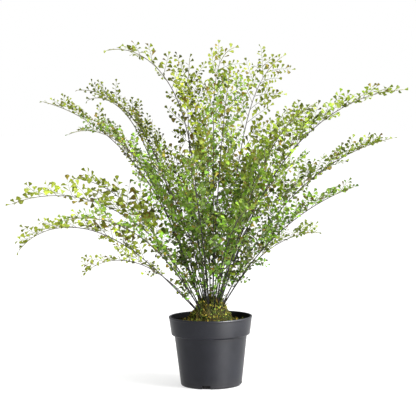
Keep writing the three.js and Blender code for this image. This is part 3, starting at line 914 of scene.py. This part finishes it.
def lathe(profile, sides):
    """Points and faces of a profile of (radius, height) turned about Z. Its ends are on the axis."""
    points = [(0.0, 0.0, profile[0][1])]
    for r, z in profile[1:-1]:
        for j in range(sides):
            a = 2 * pi * j / sides
            points.append((r * cos(a), r * sin(a), z))
    points.append((0.0, 0.0, profile[-1][1]))
    faces = []
    rings = len(profile) - 2
    for j in range(sides):
        after = (j + 1) % sides
        faces.append((0, 1 + after, 1 + j))
        for i in range(rings - 1):
            low, high = 1 + i * sides, 1 + (i + 1) * sides
            faces.append((low + j, low + after, high + after, high + j))
        top = 1 + (rings - 1) * sides
        faces.append((top + j, top + after, len(points) - 1))
    return points, faces


def with_cuts(mesh, cutters):
    """The mesh less each of the cutters, which are meshes too."""
    body = new_object("uncut", mesh)
    tools = []
    for cutter in cutters:
        tool = new_object("cutter", cutter)
        modifier = body.modifiers.new("cut", "BOOLEAN")
        modifier.object, modifier.operation, modifier.solver = tool, "DIFFERENCE", "EXACT"
        tools.append(tool)
    graph = bpy.context.evaluated_depsgraph_get()
    result = bpy.data.meshes.new_from_object(body.evaluated_get(graph))
    for obj in [body, *tools]:
        bpy.data.objects.remove(obj)
    return result


# Inside the collar, from lip below the rim, the moulding is matt, and its colour is painted much darker
# as painted shade. slack is how far off the wall a face may be to count.
INSIDE = Values(lip=0.6, slack=0.3)


def is_inside(face, collar_foot, collar_radius):
    """Whether a face of the pot is on the inner wall of its collar."""
    height = face.center.z / MM
    radius = hypot(face.center.x, face.center.y) / MM
    outside = lerp(collar_radius, POT.rim_radius, (height - collar_foot) / POT.collar_height)
    is_collar = collar_foot < height < POT.height - INSIDE.lip
    return is_collar and radius < outside - POT.wall + INSIDE.slack


def drain_cutter(angle):
    """A block with two rounded corners that cuts a drain notch through the foot of the wall."""
    half_depth, half_width, height = DRAIN.depth / 2, DRAIN.width / 2, DRAIN.height
    taper, fillet = 0.4, 1.4
    outline = filleted([
        (-half_width, -height, 0),
        (half_width, -height, 0),
        (half_width - taper, height, fillet),
        (-half_width + taper, height, fillet),
        (-half_width, -height, 0),
    ])[:-1]
    count = len(outline)
    points = [(POT.foot_radius + x, y, z) for x in (-half_depth, half_depth) for y, z in outline]
    faces = [tuple(reversed(range(count))), tuple(range(count, 2 * count))]
    faces += [(k, (k + 1) % count, count + (k + 1) % count, count + k) for k in range(count)]
    cutter = mesh_of("cutter", points, faces)
    cutter.transform(Matrix.Rotation(radians(angle), 4, "Z"))
    return cutter


def add_pot():
    collar_foot = POT.height - POT.collar_height
    collar_radius = POT.rim_radius - POT.collar_taper
    rim, shoulder, foot = POT.rim_radius, POT.shoulder_radius, POT.foot_radius
    top, floor, wall = POT.height, POT.floor, POT.wall
    # From the middle of the underside, up the outside, over the rim and down to the middle of the floor.
    corners = [
        (0, 0, 0),
        (foot - 0.2, 0, 3.2),
        (shoulder, collar_foot - 1.5, 0.8),
        (collar_radius, collar_foot - 0.2, 1.0),
        (rim - 0.5, top - 3.2, 0.8),
        (rim, top - 2.4, 0.6),
        (rim + 0.1, top, 0.9),
        (rim - wall - 0.6, top, 0.7),
        (collar_radius - wall, collar_foot + 3.2, 2.0),
        (shoulder - wall - 0.4, collar_foot - 2.6, 2.0),
        (foot - wall - 0.3, floor, 2.6),
        (0, floor, 0),
    ]
    mesh = mesh_of("nursery_pot_moulded", *lathe(filleted(corners), sides=192))
    angles = [DRAIN.first_angle + 360 * i / DRAIN.count for i in range(DRAIN.count)]
    mesh = with_cuts(mesh, [drain_cutter(angle) for angle in angles])
    mesh.name = "nursery_pot_moulded"
    mesh.materials.clear()
    mesh.materials.append(plastic_material("pot_plastic", "#191a20", "#212229", (0.34, 0.44)))
    # The inner wall of the collar gets a near-black plastic: painted shade.
    mesh.materials.append(plastic_material("pot_inside_painted_shade", "#08080a", "#101012", (0.8, 0.95)))
    for face in mesh.polygons:
        face.material_index = int(is_inside(face, collar_foot, collar_radius))
    mesh.shade_smooth()
    mesh.set_sharp_from_angle(angle=radians(32))
    add_object("nursery_pot_moulded", mesh, ["nursery_pot"])


add_pot()

# ------------ the soil and the moss

MOSS_COLOURS = palette(
    "#384216", "#8a862e", "#486e20", "#b89a42", "#6a6020", "#3a601e", "#809a3a", "#463a16",
)
FIBRE_COLOURS = palette("#8c7440", "#4a3a24", "#b09a5c", "#2e2618")

# What the moss has beyond the CAD part, in millimetres and shares. A pair is the least and the most
# that is drawn. A roughness has its width, its height and the layer of noise that it comes from.
TUFT = Values(
    tufts=(7, 4.4, 1.7),
    crumbs=(2.6, 2.2, 8.1),
    patches=(11, 0.75, 4.4),
    smooth_edge=6,
    brightness=0.36,
    # Towards the pot's wall the moss is painted darker as painted shade, from the share darker_from of
    # its radius and over the share darker_within.
    darker_from=0.5,
    darker_within=0.35,
    wall_brightness=0.62,
)
SPRIG = Values(
    count=2600,
    depth=0.8,
    half=(0.55, 1.2),
    taper=(1, 0.9, 0.6, 0.15),
    climbing_share=0.5,
    climbing=Values(spread=0.3, length=(6, 17), brightness=(0.3, 1.6)),
    creeping=Values(spread=1.6, length=(2.5, 5.5), brightness=(0.35, 3.6)),
)
# A fibre starts and rests just above the moss, and keeps the share called spring of its height.
FIBRE = Values(
    count=340,
    reach=0.9,
    start=0.6,
    flatten=np.array([1.0, 1.0, 0.25]),
    length=(8, 20),
    tilt=0.6,
    half=(0.18, 0.36),
    steps=9,
    rest=0.8,
    spring=0.25,
    off_wall=1.5,
)


def moss_height(radius, angle):
    """The CAD part's rule for the height of the moss."""
    fall = exp(-((radius / MOSS.crown_spread) ** MOSS.crown_power))
    crown = (MOSS.crown_height - MOSS.wall_height) * fall
    fade = min(radius / MOSS.even_middle, 1)
    lumps = sum(k * sin(count * angle + twist * radius) for count, twist, k in MOSS.swells)
    return MOSS.wall_height + crown + MOSS.lump * fade * lumps


def roughness(x, y, width, height, layer):
    return noise.noise(Vector((x / width, y / width, layer))) * height


def moss_point(radius, angle):
    """A point on the lumpy surface of the moss."""
    x, y = radius * cos(angle), radius * sin(angle)
    smooth = moss_height(radius, angle)
    edge_fade = min(1.0, (MOSS.edge - radius) / TUFT.smooth_edge)
    rough = roughness(x, y, *TUFT.tufts) + roughness(x, y, *TUFT.crumbs)
    return np.array([x, y, smooth + rough * edge_fade])


def moss_tint(x, y, draw, brightness):
    """Patches of moss in different colours, painted darker towards the wall as painted shade, with
    scatter between neighbours.
    """
    tint = mixed(MOSS_COLOURS, roughness(x, y, *TUFT.patches) + draw.random_sample())
    outer_share = (hypot(x, y) / MOSS.edge - TUFT.darker_from) / TUFT.darker_within
    # Painted shade: darker towards the pot's wall.
    tint[:3] *= brightness * lerp(1.0, TUFT.wall_brightness, min(max(outer_share, 0.0), 1.0))
    return tint


def add_moss_cushion(material):
    """The lumpy top of the moss, closed round its edge and underneath."""
    draw = np.random.RandomState(7)
    shape = Shape()
    rings, sides = 60, 180
    radii = [MOSS.edge * (i + 1) / rings for i in range(rings)]
    angles = [2 * pi * j / sides for j in range(sides)]
    points = [moss_point(radius, angle) for radius in radii for angle in angles]
    points.append(moss_point(0, 0))
    tints = [moss_tint(point[0], point[1], draw, TUFT.brightness) for point in points]
    outer, crown = (rings - 1) * sides, rings * sides
    foot = range(crown + 1, crown + 1 + sides)
    points += [np.array([x, y, MOSS.base]) for x, y, _ in points[outer:crown]]
    tints += [tints[0]] * sides
    faces = []
    for j in range(sides):
        after = (j + 1) % sides
        faces.append((crown, j, after))
        for i in range(rings - 1):
            low, high = i * sides, (i + 1) * sides
            faces.append((low + j, high + j, high + after, low + after))
        faces.append((outer + j, foot[j], foot[after], outer + after))
    faces.append(tuple(reversed(foot)))
    fans = [(p[0] / MOSS.edge, p[1] / MOSS.edge) for p in points]
    shape.add(points, faces, tints, fans)
    add_piece("moss_cushion", shape, [material], ["moss_mound"])


def spot_on_moss(draw, edge_share=0.97):
    radius = MOSS.edge * edge_share * sqrt(draw.random_sample())
    return moss_point(radius, 2 * pi * draw.random_sample())


def any_way(draw):
    return unit(draw.normal(size=3))


def curl(origin, along, bend, length, steps):
    """Places along a strand that starts along one way and bends steadily about an axis."""
    turn = 0.34
    is_steep = abs(along[2]) >= 0.9
    across = unit(np.cross(along, np.array([1.0, 0.0, 0.0]) if is_steep else UP))
    places = []
    for i in range(steps + 1):
        places.append(place_at(origin, along, across))
        origin = origin + along * length / steps
        along = unit(turned_about(along, bend, turn))
        across = unit(across - along * (across @ along))
    return places


def add_moss_sprigs(material):
    """Short curved shoots all over the moss. Some in the middle climb between the stems."""
    draw = np.random.RandomState(11)
    shape = Shape()
    taper = SPRIG.taper
    for _ in range(SPRIG.count):
        spot = spot_on_moss(draw)
        outward = np.array([spot[0], spot[1], 0.0]) / MOSS.edge
        middle_share = max(0.0, 1 - hypot(spot[0], spot[1]) / MOSS.crown_spread)
        climbs = draw.random_sample() < SPRIG.climbing_share * middle_share
        habit = SPRIG.climbing if climbs else SPRIG.creeping
        along = unit(UP + habit.spread * (outward + any_way(draw)))
        length = drawn(draw, *habit.length)
        places = curl(spot - along * SPRIG.depth, along, any_way(draw), length, len(taper) - 1)
        half = drawn(draw, *SPRIG.half)
        tint = moss_tint(spot[0], spot[1], draw, drawn(draw, *habit.brightness))
        add_tube(shape, places, [half * share for share in taper], 3, [tint] * len(taper), kind=0)
    add_piece("moss_sprigs", shape, [material])


def resting(place):
    """A place of a fibre, brought down onto the moss but for a share of its height."""
    x, y, z = place.origin
    radius = min(hypot(x, y), MOSS.edge - FIBRE.off_wall)
    ground = moss_point(radius, atan2(y, x))
    raised = np.array([ground[0], ground[1], z])
    origin = lerp(ground + UP * FIBRE.rest, raised, FIBRE.spring)
    return place_at(origin, place.along, place.across)


def add_moss_fibres(material):
    """Long, dry strands that curl over the moss."""
    draw = np.random.RandomState(13)
    shape = Shape()
    steps = FIBRE.steps
    for _ in range(FIBRE.count):
        start = spot_on_moss(draw, FIBRE.reach) + UP * FIBRE.start
        along = unit(any_way(draw) * FIBRE.flatten)
        length = drawn(draw, *FIBRE.length)
        bend = unit(UP * (1 if draw.random_sample() < 0.5 else -1) + FIBRE.tilt * any_way(draw))
        places = [resting(place) for place in curl(start, along, bend, length, steps)]
        half = drawn(draw, *FIBRE.half)
        tint = mixed(FIBRE_COLOURS, draw.random_sample())
        add_tube(shape, places, [half] * (steps + 1), 4, [tint] * (steps + 1), kind=0)
    add_piece("moss_fibres", shape, [material])


moss = moss_material()
add_moss_cushion(moss)
add_moss_sprigs(moss)
add_moss_fibres(moss)

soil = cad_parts["potting_soil"]
soil.data.materials.clear()
soil.data.materials.append(soil_material())
